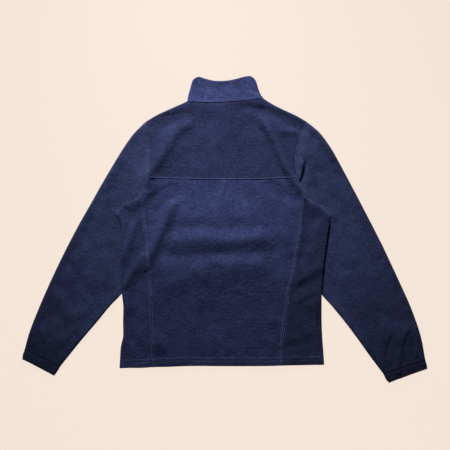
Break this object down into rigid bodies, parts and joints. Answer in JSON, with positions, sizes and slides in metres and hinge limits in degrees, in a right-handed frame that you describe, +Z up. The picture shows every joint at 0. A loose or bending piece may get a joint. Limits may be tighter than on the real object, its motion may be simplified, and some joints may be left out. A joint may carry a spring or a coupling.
{
  "type": "fleece zip jacket",
  "caption": "Long-sleeved fleece jacket with a stand collar, full front zip and gathered cuffs, laid flat on its front with its back showing.",
  "frame": {"origin": "on the surface the jacket lies on, under the middle of its bounding box", "axes": "+X towards the wearer's right sleeve, +Y towards the collar, +Z up, out of the back that shows"},
  "size_m": [1.051, 0.7974, 0.0156],
  "materials": {
    "fleece": "short brushed pile, matte, navy",
    "zip_tape": "woven tape, matte, navy",
    "zip_coil": "moulded coil, satin, navy",
    "zip_metal": "dark lacquered metal, satin"
  },
  "bodies": {
    "jacket": {"back_yoke": "fleece", "back_panel": "fleece", "side_panel_left": "fleece", "side_panel_right": "fleece", "front_left": "fleece", "front_right": "fleece", "sleeve_left": "fleece", "sleeve_right": "fleece", "cuff_left": "fleece", "cuff_right": "fleece", "collar": "fleece", "zip_tape_left": "zip_tape", "zip_tape_right": "zip_tape", "zip_chain": "zip_coil", "zip_slider": "zip_metal"},
    "pull_tab": {"zip_pull_tab": "zip_metal"}
  },
  "joints": [
    {"name": "pull_tab_hinge", "type": "hinge", "parent": "jacket", "child": "pull_tab", "pos_m": [0, 0.34, 0.00305], "axis": [1, 0, 0], "range_deg": [-6, 150]}
  ]
}
